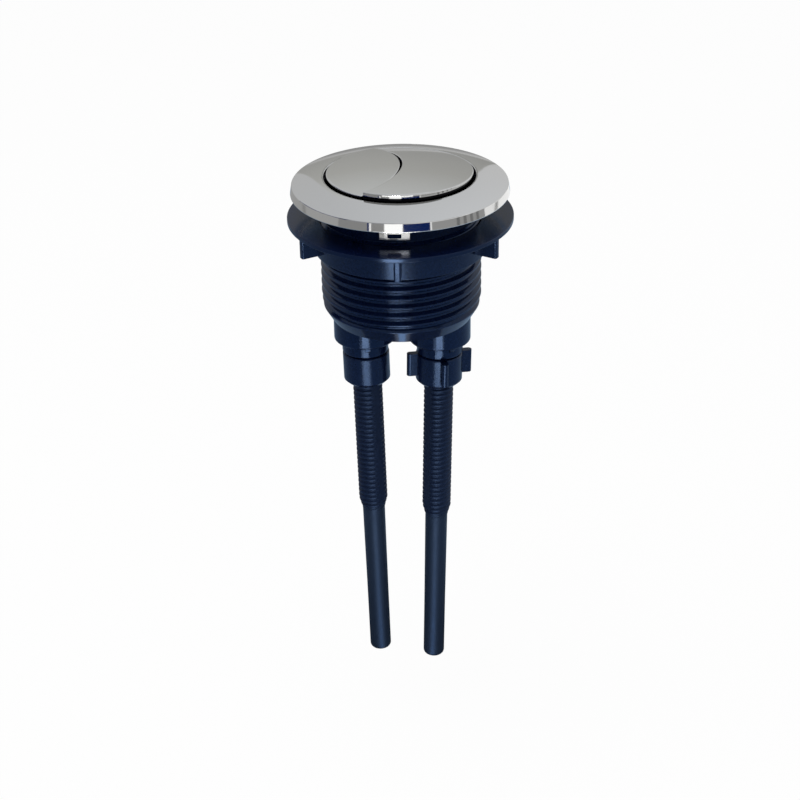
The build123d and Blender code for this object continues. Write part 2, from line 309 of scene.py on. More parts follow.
class Finishes(PropertyGroup):
    """Colours and roughness of the three finishes."""

    chrome: colour("Chrome", "Colour of the plated surfaces", 0.78, 0.78, 0.77)
    chrome_rough: share("Chrome roughness", "Roughness of the plated surfaces", 0.06)
    # Painted shade: this colour of the caps' lower walls stands in for the shade in the gap under their
    # edges
    painted_shade_skirt: colour("Skirt", "Colour of the caps' lower walls, below the plating", 0.008, 0.008, 0.01)
    plastic: colour("Plastic", "Colour of the moulded plastic", 0.0014, 0.004, 0.021)
    plastic_pale: colour("Plastic pale", "Colour of its paler specks", 0.004, 0.010, 0.038)
    shank: colour("Shank", "Colour of the rods' plain parts", 0.010, 0.017, 0.030)
    plastic_rough: share("Plastic roughness", "Roughness of the moulded plastic", 0.12)
    grain_rough: share("Grain roughness", "Roughness of the grained hub and lock nuts", 0.22)
    flange_rough: share("Flange roughness", "Roughness of the ring nut's polished flange", 0.18)
    rod_rough: share("Rod roughness", "Roughness of the satin rods", 0.45)
    plastic_grain: share("Plastic grain", "Strength of the moulded grain", 0.12)
    strong_grain: share("Strong grain", "Strength of the grain of the hub and the lock nuts", 0.4)
    plastic_gloss: share("Plastic gloss", "Specular level of the moulded plastic", 0.5)
    plastic_tint: colour("Plastic tint", "Colour of the plastic's gloss", 0.36, 0.57, 1.0)
    steel: colour("Steel", "Colour of the spring wire", 0.5, 0.5, 0.49)
    steel_rough: share("Steel roughness", "Roughness of the spring wire", 0.3)


class StageSizes(PropertyGroup):
    """Camera, floor and light."""

    azimuth: angle("Azimuth", "Camera's turn round the part", 4.367)
    elevation: angle("Elevation", "Camera's height over the horizon", 28.465)
    roll: angle("Roll", "Camera's roll", 0.993)
    distance: length("Distance", "From the camera to the point that it looks at", 486.98 * MM)
    aim_height: length("Aim height", "Height of that point", -62.888 * MM)
    focal: share("Focal length", "Focal length as a share of the picture's width", 1733.4 / 800)
    centre: share("Centre", "The axis in the picture, as a share of its width", 403.39 / 800)
    floor_gap: length("Floor gap", "Room below the part for the rods' travel", ROD_TRAVEL + 0.5 * MM)
    floor_size: length("Floor size", "Half the floor's width", 3.0)
    world_light: share("World light", "Strength of the even light from all round", 0.55)
    lamp_power: share("Lamp power", "Power of the soft lamp above, in watts", 3.2)
    lamp_size: length("Lamp size", "Width of that lamp", 0.5)
    floor_glow: share("Floor glow", "Share of the floor's white that isn't lit", 0.95)
    tent_radius: length("Tent radius", "Radius of the grey tent that mirrors see", 0.75)
    tent_foot: share("Tent foot", "Brightness of the tent's foot, which the rim mirrors", 0.28)
    tent_wall: share("Tent wall", "Brightness of the tent's wall", 0.52)
    tent_top: colour("Tent top", "Colour of the tent's top", 0.575, 0.59, 0.615)
    card_foot: colour("Card foot", "Colour of the back card's lower edge", 0.335, 0.335, 0.325)
    card_low: colour("Card low", "Colour of the back card's middle, which caps mirror", 0.40, 0.40, 0.385)
    card_high: colour("Card high", "Colour of the back card's upper edge", 0.52, 0.53, 0.53)
    card_lift: length("Card lift", "Height of the lowest card over the floor", 0.1 * MM)
    table_sheet: share("Table sheet", "Brightness of the table round the part", 0.36)
    table_tint: colour("Table tint", "Colour of the cards that shade the table", 0.5, 0.72, 1.0)
    wall_shade: colour("Wall shade", "Colour of the dark card on the wall", 0.004, 0.016, 0.095)
    front_glow: share("Front glow", "Strength of the bright cards in front", 8.0)


class PushButton(PropertyGroup):
    """All sizes and finishes of the push button."""

    bezel: PointerProperty(type=BezelSizes)
    caps: PointerProperty(type=CapSizes)
    barrel: PointerProperty(type=BarrelSizes)
    ring_nut: PointerProperty(type=RingNutSizes)
    plungers: PointerProperty(type=PlungerSizes)
    springs: PointerProperty(type=SpringSizes)
    rods: PointerProperty(type=RodSizes)
    lock_nuts: PointerProperty(type=LockNutSizes)
    finishes: PointerProperty(type=Finishes)
    stage: PointerProperty(type=StageSizes)


# Surfaces
def rounded(corners, radii, steps=7):
    """An outline through corners that are rounded off, as (x, y) rows.

    The arc of a corner C of half angle h and radius r is centred r / sin h along the bisector and
    touches both sides r / tan h from C. It is swept in equal turns from side to side, with one more
    point just before and just after it, which keep the flat stretches flat. Radius 0 keeps C.
    """
    corner = np.asarray(corners, float)
    radius = np.asarray(radii, float)[:, None]
    back = np.roll(corner, 1, 0) - corner
    ahead = np.roll(corner, -1, 0) - corner
    back /= np.linalg.norm(back, axis=1, keepdims=True)
    ahead /= np.linalg.norm(ahead, axis=1, keepdims=True)
    half = np.arccos(np.clip((back * ahead).sum(1, keepdims=True), -1, 1)) / 2
    middle = back + ahead
    size = np.linalg.norm(middle, axis=1, keepdims=True)
    middle = np.divide(middle, size, out=np.zeros_like(middle), where=size > 0)
    centre = middle * radius / np.sin(half)
    start = back * radius / np.tan(half) - centre
    end = ahead * radius / np.tan(half) - centre
    least_turn = 1e-6
    turn = np.maximum(np.pi - 2 * half, least_turn)[:, None]
    t = np.linspace(0, 1, steps)[None, :, None]
    arc = (np.sin((1 - t) * turn) * start[:, None] + np.sin(t * turn) * end[:, None]) / np.sin(turn)
    most_hold = 0.1 * MM
    hold = np.minimum(0.3 * radius, most_hold)
    arc = np.concatenate(((start + back * hold)[:, None], arc, (end + ahead * hold)[:, None]), 1)
    return (corner[:, None] + centre[:, None] + arc).reshape(-1, 2)


def closed(outline):
    """An outline with its first point repeated at its end."""
    return np.concatenate((outline, outline[:1]))


def full_turn(columns, start=0.0):
    """Angles once round the axis, the first repeated at the end."""
    return start + np.linspace(0, 2 * np.pi, columns + 1)


def around(radius, height, turn):
    """The surface (r cos a, r sin a, z); radius, height and angle are broadcast to one grid."""
    radius, height, turn = np.broadcast_arrays(radius, height, turn)
    return np.stack((radius * np.cos(turn), radius * np.sin(turn), height), -1)


def revolved(outline, columns):
    """An outline of (radius, height) rows turned about the Z axis."""
    return around(outline[:, :1], outline[:, 1:], full_turn(columns))


def slab(side, other, low, high, other_high=None):
    """A closed slab between two plan curves, given as complex numbers, and two heights.

    The loop side low, side high, other high, other low is carried along the curves, and a flat
    face closes it at the first and at the last point. The other curve may differ at its top.
    """
    plan = np.stack((side, side, other if other_high is None else other_high, other, side))
    height = np.array((low, high, high, low, low))[:, None] + np.zeros(plan.shape)
    loop = np.stack((plan.real, plan.imag, height), -1)
    ends = [loop[[0, 1, 3, 2], at].reshape(2, 2, 3) for at in (0, -1)]
    return [loop, *ends]


def turned(grids, turn=0.0, x=0.0):
    """Grids turned about the Z axis and then moved along X."""
    spin = np.array(Matrix.Rotation(turn, 3, "Z"))
    return [grid @ spin.T + (x, 0, 0) for grid in grids]


def ringed(grids, number, start, x=0.0):
    """Copies of grids spread evenly round the Z axis, from a first turn on, and then moved along X."""
    turns = start + np.arange(number) * 2 * np.pi / number
    return [grid for turn in turns for grid in turned(grids, turn, x)]


def own(sizes, side, part):
    """The size that the half or the full flush side has of its own."""
    return getattr(sizes, ("full_" if side > 0 else "half_") + part)


def smooth(share_of_way):
    """Smooth step from 0 to 1: t * t * (3 - 2 t), with t held between 0 and 1."""
    t = np.clip(share_of_way, 0, 1)
    return t * t * (3 - 2 * t)


def arc_slab(inner, outer, width, low, high, front, taper=0.0):
    """A slab between two arcs about the axis, at the front or the back, with straight sides.

    The taper is how far the outer face draws in at the top.
    """
    t = np.linspace(-1, 1, ARC_POINTS)
    middle = -1j if front else 1j
    radii = (inner, outer, outer - taper)
    near, far, far_high = (r * middle * np.exp(1j * t * np.arcsin(width / 2 / r)) for r in radii)
    return slab(near, far, low, high, far_high)


def new_object(name, data):
    """A new object of the scene for a mesh, a lamp or a camera."""
    thing = bpy.data.objects.new(name, data)
    bpy.context.scene.collection.objects.link(thing)
    return thing


def solid(name, grids, sharp=SHARP):
    """One mesh object from grids of rows by columns by 3, whose neighbours are joined by quads.

    Points that coincide are merged, which closes seams and poles, and the faces are turned outwards.
    """
    points, faces, first = [], [], 0
    for grid in grids:
        rows, columns = grid.shape[:2]
        index = first + np.arange(rows * columns).reshape(rows, columns)
        quads = np.stack((index[:-1, :-1], index[:-1, 1:], index[1:, 1:], index[1:, :-1]), -1)
        points.append(grid.reshape(-1, 3))
        faces.append(quads.reshape(-1, 4))
        first += rows * columns
    mesh = bpy.data.meshes.new(name)
    mesh.from_pydata(np.concatenate(points).tolist(), [], np.concatenate(faces).tolist())
    work = bmesh.new()
    work.from_mesh(mesh)
    bmesh.ops.remove_doubles(work, verts=work.verts, dist=MERGE)
    bmesh.ops.recalc_face_normals(work, faces=work.faces)
    work.to_mesh(mesh)
    work.free()
    soften(mesh, sharp)
    return new_object(name, mesh)


def soften(mesh, sharp):
    """Smooth shading, apart from edges sharper than an angle in degrees."""
    mesh.shade_smooth()
    mesh.set_sharp_from_angle(angle=math.radians(sharp))


def fused(body, added, cut=None):
    """The body with one helper joined to it and another cut away, as one closed mesh."""
    for helper, operation in ((added, "UNION"), (cut, "DIFFERENCE")):
        if helper is not None:
            step = body.modifiers.new(operation.lower(), "BOOLEAN")
            step.object = helper
            step.operation = operation
            step.solver = "MANIFOLD"
    shaped = body.evaluated_get(bpy.context.evaluated_depsgraph_get())
    mesh = bpy.data.meshes.new_from_object(shaped)
    body.modifiers.clear()
    plain = body.data
    body.data = mesh
    bpy.data.meshes.remove(plain)
    mesh.name = body.name
    for helper in (added, cut):
        if helper is not None:
            bpy.data.meshes.remove(helper.data)
    soften(mesh, SHARP)
    return body


def bevelled(helper, width, segments=3):
    """A helper with its sharp edges rounded by a Bevel modifier."""
    step = helper.modifiers.new("rounding", "BEVEL")
    step.width = width
    step.segments = segments
    step.limit_method = "ANGLE"
    step.angle_limit = math.radians(BEVELLED)
    return helper


def dressed(piece, finish, body, node):
    """Gives a finished piece its material, its body and the CAD node that it stands for."""
    if not piece.data.polygons:
        raise RuntimeError(piece.name + " has no faces")
    piece.data.materials.clear()
    piece.data.materials.append(finish)
    flat = piece.modifiers.new("flat_faces", "WEIGHTED_NORMAL")
    flat.keep_sharp = True
    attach(piece, body)
    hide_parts(node)


def thread_rows(sizes, turns):
    """Rows of a thread: their place in turns down the axis, and their share of the ridge's height.

    One turn is a flat root, a straight flank, a flat crest and a flank back, with rounded edges. The
    two outermost corners at either end only close the outline, and their points are left out.
    """
    pitch, crest, steps = sizes.thread_pitch, sizes.thread_crest / 2, 3
    foot, depth = crest + sizes.thread_flank, sizes.thread_depth
    corners = (
        (-pitch / 2, -pitch), (-pitch / 2, 0), (-foot, 0), (-crest, depth), (crest, depth), (foot, 0),
        (pitch / 2, 0), (pitch / 2, -pitch),
    )
    edge, spare = sizes.thread_edge, 2 * (steps + 2)
    section = rounded(corners, (0, 0, edge, edge, edge, edge, 0, 0), steps)[spare:-spare]
    place = np.arange(turns)[:, None] + section[:, 0] / pitch
    return place.reshape(-1, 1), np.tile(section[:, 1] / depth, turns)[:, None]


# Finishes
# Waves of noise a metre, and the depth of bumps
POLISH_WAVES, PLATING_WAVES = 260.0, 120.0
SATIN_WAVES, SPECK_WAVES, GRAIN_WAVES = 420.0, 1500.0, 1800.0
WIRE_WAVES, DRAWING_WAVES = 1500.0, 4000.0
MARK_DEPTH, GRAIN_DEPTH = 0.01 * MM, 0.02 * MM
# The span of the noise over which specks turn pale, and the grain that a polished flange keeps
SPECK_SPAN = (0.35, 0.7)
FLANGE_GRAIN = 0.02
# The share of the moulded colour in a shank, and the length over which the thread takes it up again
SHANK_SHARE, SHANK_BLEND = 0.25, 2 * MM
# How far inside a cap's wall the painted shade on its lower wall starts and is full, and the height over
# which it ends
PAINTED_SHADE_START, PAINTED_SHADE_FULL, PAINTED_SHADE_BLEND = 0.12 * MM, 0.08 * MM, 0.04 * MM


def node_material(name):
    """A new node material with its tree and its Principled shader."""
    material = bpy.data.materials.new(name)
    material.use_nodes = True
    tree = material.node_tree
    return material, tree, tree.nodes["Principled BSDF"]


def feed(tree, node, inputs):
    """Links the inputs of a node to sockets, or sets them to plain values."""
    for name, value in inputs.items():
        if isinstance(value, bpy.types.NodeSocket):
            tree.links.new(value, node.inputs[name])
        else:
            node.inputs[name].default_value = value


def wired(tree, kind, inputs, output, **settings):
    """One output of a new shader node with these settings and inputs."""
    node = tree.nodes.new("ShaderNode" + kind)
    for name, value in settings.items():
        setattr(node, name, value)
    feed(tree, node, inputs)
    return node.outputs[output]


def place(tree):
    """The Object coordinates, from one node for the whole tree."""
    node = tree.nodes.get("Texture Coordinate") or tree.nodes.new("ShaderNodeTexCoord")
    return node.outputs["Object"]


def along(tree, axis):
    """The Object coordinate along one axis."""
    return wired(tree, "SeparateXYZ", {"Vector": place(tree)}, axis)


def noise(tree, waves, detail=3.0):
    """A noise texture on Object coordinates."""
    return wired(tree, "TexNoise", {"Vector": place(tree), "Scale": waves, "Detail": detail}, "Fac")


def ranged(tree, value, low, high, start=0.0, end=1.0):
    """A value carried over from one range, start to end, to another, low to high."""
    inputs = {"Value": value, "From Min": start, "From Max": end, "To Min": low, "To Max": high}
    return wired(tree, "MapRange", inputs, "Result")


def above(tree, height, low, high, blend=0.3 * MM):
    """A value that changes from low to high where the piece reaches a height."""
    return ranged(tree, along(tree, "Z"), low, high, height - blend, height)


def uneven(tree, waves, rough, least, most):
    """A roughness that wanders between two shares of itself."""
    return ranged(tree, noise(tree, waves), least * rough, most * rough)


def larger(tree, first, second):
    """The larger of two values."""
    return wired(tree, "Math", {0: first, 1: second}, "Value", operation="MAXIMUM")


def mixed(tree, factor, first, second):
    """The colour that lies at the factor's share of the way from the first colour to the second."""
    return wired(tree, "Mix", {"Factor": factor, "A": first, "B": second}, "Result", data_type="RGBA")


def bumped(tree, value, depth, strength):
    """A bump from a value, at a real height in metres."""
    return wired(tree, "Bump", {"Height": value, "Distance": depth, "Strength": strength}, "Normal")


def metal(name, tone, rough, waves, marks, strength):
    """A bare metal with a faintly uneven polish and shallow marks."""
    material, tree, shader = node_material(name)
    feed(tree, shader, {
        "Base Color": (*tone, 1), "Metallic": 1.0, "Roughness": uneven(tree, waves, rough, 0.7, 1.4),
        "Normal": bumped(tree, noise(tree, *marks), MARK_DEPTH, strength),
    })
    return material, tree, shader


def chrome_finish(finishes, name="plated_chrome", painted_shade_skirt=None, wall=None):
    """Bright plating: a neutral mirror with a faintly uneven polish.

    A painted shade skirt leaves it dark below that height, from the wall's radius outwards: painted shade of
    the gap under a cap's edge.
    """
    marks = (PLATING_WAVES, 1.0)
    material, tree, shader = metal(name, finishes.chrome, finishes.chrome_rough, POLISH_WAVES, marks, 0.25)
    # Painted shade: the colour turns dark on the cap's wall below the skirt's height, in place of the shaded
    # gap under its edge
    if painted_shade_skirt is not None:
        plan = wired(tree, "VectorMath", {0: place(tree), 1: (1, 1, 0)}, "Vector", operation="MULTIPLY")
        reach = wired(tree, "VectorMath", {0: plan}, "Value", operation="LENGTH")
        inside = ranged(tree, reach, 1.0, 0.0, wall - PAINTED_SHADE_START, wall - PAINTED_SHADE_FULL)
        unshaded = larger(tree, inside, above(tree, painted_shade_skirt, 0.0, 1.0, PAINTED_SHADE_BLEND))
        tone = mixed(tree, unshaded, (*finishes.painted_shade_skirt, 1), (*finishes.chrome, 1))
        feed(tree, shader, {"Base Color": tone})
    return material


def plastic_finish(finishes, name, rough, grain, polished_above=None, grey_below=None):
    """Moulded plastic, blue-black, with fine pale specks.

    Above a height it may be dark and polished, and below one it may have the grey of the shanks.
    """
    material = bpy.data.materials.get(name)
    if material is not None:
        return material
    material, tree, shader = node_material(name)
    if polished_above is None:
        satin, specks = uneven(tree, SATIN_WAVES, rough, 0.8, 1.25), 1.0
    else:
        satin = above(tree, polished_above, rough, finishes.flange_rough)
        specks = above(tree, polished_above, 1.0, 0.0)
        grain = above(tree, polished_above, grain, FLANGE_GRAIN)
    pale = ranged(tree, noise(tree, SPECK_WAVES), 0.0, specks, *SPECK_SPAN)
    tone = mixed(tree, pale, (*finishes.plastic, 1), (*finishes.plastic_pale, 1))
    if grey_below is not None:
        moulded = above(tree, grey_below, SHANK_SHARE, 1.0, SHANK_BLEND)
        tone = mixed(tree, moulded, (*finishes.shank, 1), tone)
    feed(tree, shader, {
        "Base Color": tone, "Roughness": satin, "Specular IOR Level": finishes.plastic_gloss,
        "Specular Tint": (*finishes.plastic_tint, 1),
        "Normal": bumped(tree, noise(tree, GRAIN_WAVES, 2.0), GRAIN_DEPTH, grain),
    })
    return material


def moulded_finish(finishes):
    """The plastic of the barrel and the plungers."""
    return plastic_finish(finishes, "moulded_plastic", finishes.plastic_rough, finishes.plastic_grain)


def steel_finish(finishes):
    """Drawn spring wire: grey metal with fine drawing marks."""
    name = "drawn_steel"
    made = bpy.data.materials.get(name)
    return made or metal(name, finishes.steel, finishes.steel_rough, WIRE_WAVES, (DRAWING_WAVES,), 0.3)[0]


# Pieces
def bezel_outline(sizes):
    """The bezel's section: rim band, gently bulging face, bore and collar.

    The face is the rounding of a corner that stands twice its bulge b over the middle of its chord c. Its
    radius is nearly the c c / 8 b of a full arc, which leaves room for the edges at both ends.
    """
    share_of_arc = 0.9
    rim = np.array((sizes.radius - sizes.rim_inset, sizes.rim_height))
    bore = np.array((sizes.bore_radius, sizes.bore_height))
    across = bore - rim
    chord = np.linalg.norm(across)
    outward = np.array((across[1], -across[0])) / chord
    crest = (rim + bore) / 2 + outward * 2 * sizes.face_bulge
    face_radius = share_of_arc * chord**2 / (8 * sizes.face_bulge)
    slope = across[1] / across[0]
    inner = sizes.radius - sizes.wall

    def under(radius):
        return radius, rim[1] + slope * (radius - rim[0]) - sizes.wall

    corners = (
        bore, (sizes.bore_radius, sizes.collar_bottom), (sizes.collar_radius, sizes.collar_bottom),
        under(sizes.collar_radius), under(inner), (inner, 0), (sizes.radius, 0), rim, crest,
    )
    edge, soft = sizes.edge_radius, sizes.soft_edge
    return closed(rounded(corners, (edge, soft, 0, soft, soft, soft, soft, edge, face_radius), 9))


def split_circle(sizes):
    """Centre, as a complex number, of the arc between the caps."""
    return (sizes.split_apex - sizes.split_radius) * np.exp(1j * sizes.split_turn)


def cap_plan(sizes, side, radius, inset, across=CAP_POINTS):
    """The two arcs that bound a cap in plan, as complex numbers, from the front corner to the back one.

    With the split circle's centre C at distance d and direction g, and its radius S moved by the
    inset, the circles cross at g +- f on the outer one, cos f = (d d + R R - S S) / (2 d R), and at
    g + pi +- p on the split, cos p = (d d + S S - R R) / (2 d S).
    """
    centre = split_circle(sizes)
    split = sizes.split_radius + side * inset
    d, g = abs(centre), np.angle(centre)
    f = np.arccos((d * d + radius * radius - split * split) / (2 * d * radius))
    p = np.arccos((d * d + split * split - radius * radius) / (2 * d * split))
    v = (1 - np.cos(np.linspace(0, np.pi, across))) / 2
    turn = g + f + v * (2 * np.pi - 2 * f) if side > 0 else g + f * (1 - 2 * v)
    return radius * np.exp(1j * turn), centre + split * np.exp(1j * (g + np.pi - p * (1 - 2 * v)))


def cap_surface(sizes, side):
    """A cap: a sloping dome with rounded edges, walls, a lower rim and a hollow underside.

    The dome is part of a ball of radius D = (R R + c c) / 2 c, with c the crown. Its centre is moved
    by D sin(slope) to the back and lies D cos(slope) below the top of the axis. Over the plan point P,
    height = centre + sqrt(D D - |P - i D sin(slope)|^2) - (q - sqrt(q q - (q - w)^2)), with w the
    distance to the nearer arc, held to the edge radius q.
    """
    edge = own(sizes, side, "edge")
    slope = sizes.full_slope if side > 0 else 0.0
    radius, q = sizes.radius, sizes.edge_radius
    dome = (radius**2 + sizes.crown**2) / (2 * sizes.crown)
    inset = sizes.split_gap / 2
    outer, split = cap_plan(sizes, side, radius, inset)
    reach = np.maximum(abs(outer - split), 4 * q)
    near = q * (1 - np.cos(np.linspace(0, np.pi / 2, EDGE_ROWS)))[:, None] / reach
    middle = near[-1] + (1 - 2 * near[-1]) * np.linspace(0, 1, DOME_ROWS)[1:-1, None]
    across = np.concatenate((near, middle, 1 - near[::-1]))
    plan = outer * (1 - across) + split * across
    to_split = side * (abs(plan - split_circle(sizes)) - sizes.split_radius) - inset
    depth = np.clip(np.minimum(radius - abs(plan), to_split), 0, q)
    top = edge + sizes.crown - dome * np.cos(slope)
    top = top + np.sqrt(dome**2 - abs(plan - 1j * dome * np.sin(slope)) ** 2)
    top = top - (q - np.sqrt(q * q - (q - depth) ** 2))
    inner_outer, inner_split = cap_plan(sizes, side, radius - sizes.wall, inset + sizes.wall)
    under = np.linspace(inner_split, inner_outer, UNDER_ROWS)
    plan = np.concatenate((plan, [split, inner_split], under, [inner_outer, outer, outer]))
    low = np.full((1, outer.size), sizes.bottom)
    height = np.concatenate((top, low, low, np.full(under.shape, sizes.ceiling), low, low, top[:1]))
    return np.stack((plan.real, plan.imag, height), -1)


def barrel_surface(sizes):
    """The barrel as one grid: inside, neck, thread, cone and floor.

    Thread rows follow z = z0 - pitch (s - a / 2 pi), with s the turns down the axis and a the angle
    from the back, held between the thread's ends; the radius is the root plus the section's share
    of the depth, which fades to nothing at both ends.
    """
    columns = COLUMNS["barrel"]
    turn = full_turn(columns, np.pi / 2)
    root = sizes.thread_radius - sizes.thread_depth
    soft = sizes.soft_edge
    upper = rounded(
        (
            (0, sizes.floor_top), (sizes.bore, sizes.floor_top), (sizes.bore, sizes.neck_bottom),
            (sizes.neck_bore, sizes.neck_bottom), (sizes.neck_bore, sizes.neck_top),
            (sizes.neck_radius, sizes.neck_top), (sizes.neck_radius, sizes.neck_bottom),
            (root, sizes.neck_bottom),
        ),
        (0, soft, soft / 2, 0, soft / 2, soft / 2, 0, 0),
    )
    lower = rounded(
        (
            (root, sizes.thread_bottom), (root + sizes.cone_lip, sizes.thread_bottom - sizes.cone_lip),
            (sizes.cone_bottom, sizes.floor_bottom), (0, sizes.floor_bottom),
        ),
        (0, soft, soft, 0),
    )
    turns = int((sizes.neck_bottom - sizes.thread_bottom) / sizes.thread_pitch) + 3
    rows, ridge = thread_rows(sizes, turns)
    first = sizes.thread_bottom + (turns - 2) * sizes.thread_pitch
    height = first - sizes.thread_pitch * (rows - np.linspace(0, 1, columns + 1))
    height = np.clip(height, sizes.thread_bottom, sizes.neck_bottom)
    fade = smooth((sizes.neck_bottom - height) / sizes.thread_fade)
    fade = fade * smooth((height - sizes.thread_bottom) / sizes.thread_fade)
    radius = root + sizes.thread_depth * ridge * fade
    parts = (
        around(upper[:, :1], upper[:, 1:], turn), around(radius, height, turn),
        around(lower[:, :1], lower[:, 1:], turn),
    )
    return np.concatenate(parts)


def boss_helpers(sizes, offset):
    """The two guide bosses with the latch nibs, and the plugs that cut the bosses' holes."""
    inside = (sizes.floor_top + sizes.floor_bottom) / 2
    boss = rounded(
        (
            (0, inside), (sizes.boss_radius, inside), (sizes.boss_radius, sizes.boss_bottom),
            (0, sizes.boss_bottom),
        ),
        (0, 0, sizes.boss_edge, 0),
    )
    over, below = sizes.floor_top + MM, sizes.boss_bottom - MM
    hole = np.array(((0, over), (sizes.boss_bore, over), (sizes.boss_bore, below), (0, below)))
    bosses, holes = [], []
    for x in (-offset, offset):
        bosses += turned([revolved(boss, COLUMNS["boss"])], x=x)
        holes += turned([revolved(hole, COLUMNS["boss"])], x=x)
    inner = (sizes.neck_radius + sizes.neck_bore) / 2
    for front in (True, False):
        bosses += arc_slab(inner, sizes.nib_reach, sizes.nib_width, sizes.nib_bottom, sizes.nib_top, front)
    return solid("boss_helper", bosses), solid("boss_holes", holes)


def ring_nut_outline(sizes):
    """The ring nut's section: a thin flange over a hub."""
    under = sizes.flange_top - sizes.flange_thickness
    soft = sizes.soft_edge
    corners = (
        (sizes.bore, sizes.flange_top), (sizes.flange_radius, sizes.flange_top),
        (sizes.flange_radius, under), (sizes.hub_radius, under), (sizes.hub_radius, sizes.hub_bottom),
        (sizes.bore, sizes.hub_bottom),
    )
    edge = sizes.flange_edge
    return closed(rounded(corners, (soft, edge, edge, soft, soft, soft)))


def lug_helper(sizes):
    """The lugs under the flange, each a slab with a rounded outer end."""
    half, edge = sizes.lug_thickness / 2, sizes.lug_edge
    arc = np.linspace(-np.pi / 2, 0, 7)
    corner = (sizes.lug_end - edge) + 1j * (edge - half) + edge * np.exp(1j * arc)
    start = (sizes.bore + sizes.hub_radius) / 2
    side = np.concatenate(([start - 1j * half], corner, [sizes.lug_end]))
    top = sizes.flange_top - sizes.flange_thickness / 2
    lug = slab(side, side.conj(), sizes.lug_bottom, top)
    return solid("lug_helper", ringed(lug, sizes.lugs, sizes.lug_turn - np.pi / 2))


def plunger_outline(sizes, top):
    """A stem's section: a tube with a wide upper bore and a narrower threaded one."""
    root = top - sizes.head_thickness / 2
    step = sizes.stem_bottom + sizes.thread_length
    soft = sizes.soft_edge
    corners = (
        (sizes.stem_bore, root), (sizes.stem_radius, root), (sizes.stem_radius, sizes.stem_bottom),
        (sizes.thread_bore, sizes.stem_bottom), (sizes.thread_bore, step), (sizes.stem_bore, step),
    )
    return closed(rounded(corners, (0, 0, soft, soft, 0, 0)))


def barb_slab(sizes):
    """One snap barb: a ledge at the top that tapers away downwards."""
    root, tip = sizes.stem_radius - sizes.barb_reach, sizes.stem_radius + sizes.barb_reach
    top, bottom = sizes.barb_top, sizes.barb_top - sizes.barb_height
    upper = np.array((root + 1j * top, sizes.stem_radius + 1j * top, tip + 1j * top))
    ledge = top - sizes.barb_height / 3
    lower = np.array((root + 1j * bottom, sizes.stem_radius + 1j * bottom, tip + 1j * ledge))
    half = sizes.barb_width / 2
    return [grid[..., [0, 2, 1]] for grid in slab(upper, lower, -half, half)]


def plunger(sizes, caps, name, side):
    """A head that fits the cap's hollow, on a stem with snap barbs."""
    top = own(sizes, side, "top")
    outer, split = cap_plan(caps, side, sizes.head_radius, sizes.head_inset, HEAD_POINTS)
    head = solid(name, slab(outer, split, top - sizes.head_thickness, top))
    x = side * sizes.offset
    stem = turned([revolved(plunger_outline(sizes, top), COLUMNS["stem"])], x=x)
    body = fused(head, solid("stem_helper", stem))
    barbs = ringed(barb_slab(sizes), sizes.barbs, own(sizes, side, "barb_turn"), x)
    return fused(body, bevelled(solid("barb_helper", barbs), sizes.barb_edge, 2))


def spring_surface(sizes, low, high):
    """A coil of round wire: a circle carried along a helix whose first and last half turns lie flat.

    The wire draws in to a point over a short part of its length at both ends, which closes it.
    """
    point = 1 / 400
    t = np.linspace(0, 1, sizes.turns * COIL_POINTS + 1)[:, None]
    flat = 1 / sizes.turns
    rise = np.clip((t - flat / 2) / (1 - flat), 0, 1)
    wire = sizes.wire / 2
    middle = low + wire + (high - low - sizes.wire) * rise
    round_wire = full_turn(COLUMNS["wire"])
    thin = np.sqrt(np.clip(np.minimum(t, 1 - t) / point, 0, 1))
    radius = sizes.radius + wire * thin * np.cos(round_wire)
    height = middle + wire * thin * np.sin(round_wire)
    return around(radius, height, 2 * np.pi * sizes.turns * t)


def rod_surface(sizes, side):
    """A push rod as one grid: a thread with two flats, its run-out, a tapering shank, a rounded end.

    Thread rows follow z = top - pitch (s - a / 2 pi), held between the rod's top and the run-out's
    end. The crest line rises from the shank at both ends; the radius lies below it by the depth
    times 1 - ridge, not under the shank, and a flat holds it to flat / |cos(a - direction)|.
    """
    top = own(sizes, side, "top")
    flat_turn = own(sizes, side, "flat_turn")
    thread_end = top - sizes.thread_length
    shank_top = thread_end - sizes.run_out
    bottom = thread_end - sizes.plain_length
    columns = COLUMNS["rod"]
    turn = full_turn(columns, flat_turn)
    turns = int((top - shank_top) / sizes.thread_pitch) + 3
    rows, ridge = thread_rows(sizes, turns)
    height = top + sizes.thread_pitch * (1 - rows + np.linspace(0, 1, columns + 1))
    height = np.clip(height, shank_top, top)
    step = sizes.thread_radius - sizes.shank_radius
    rise = np.minimum(step, np.minimum(top - height, (height - shank_top) / sizes.run_out * step))
    radius = sizes.shank_radius + np.maximum(rise - sizes.thread_depth * (1 - ridge), 0)
    least_cosine = 0.01
    radius = np.minimum(radius, sizes.flat / np.maximum(abs(np.cos(turn - flat_turn)), least_cosine))
    tip = rounded(
        (
            (sizes.shank_radius, shank_top), (sizes.tip_radius, bottom + sizes.tip_length),
            (sizes.tip_radius, bottom), (0, bottom),
        ),
        (0, sizes.tip_length / 2, sizes.end_radius, 0),
    )
    crown = np.zeros((1, columns + 1))
    parts = (around(crown, top, turn), around(radius, height, turn), around(tip[:, :1], tip[:, 1:], turn))
    return np.concatenate(parts)


def leaned(grids, sizes, offset, side):
    """Grids that were drawn on the axis, placed on a rod's leaning line."""
    lean = np.array(Matrix.Rotation(side * sizes.lean, 3, "Y"))
    pivot = np.array((0, 0, sizes.lean_height))
    return [(grid - pivot) @ lean.T + pivot + (side * offset, 0, 0) for grid in grids]


